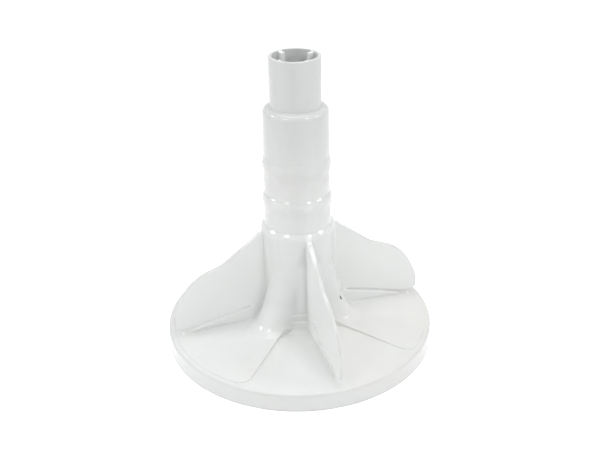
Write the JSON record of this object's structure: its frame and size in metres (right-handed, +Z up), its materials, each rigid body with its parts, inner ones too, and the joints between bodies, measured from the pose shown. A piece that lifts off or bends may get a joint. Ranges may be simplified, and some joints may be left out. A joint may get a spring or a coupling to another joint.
{
  "type": "washing machine agitator",
  "caption": "Washing machine agitator: round skirted base with fins slit at the foot, flared hollow column with a soft shoulder, tube with two beads, and an open neck with lugs.",
  "frame": {"origin": "centre of the plane the skirt's foot stands in", "axes": "+Z up the column's axis, out of the neck; +X and -X through the two fins that stand on the raised pads; +Y and -Y through the two fins that stand in the sunk sectors"},
  "size_m": [0.3298, 0.33, 0.357],
  "materials": {
    "body": "gloss"
  },
  "bodies": {
    "root": {"agitator": "body"}
  },
  "joints": []
}
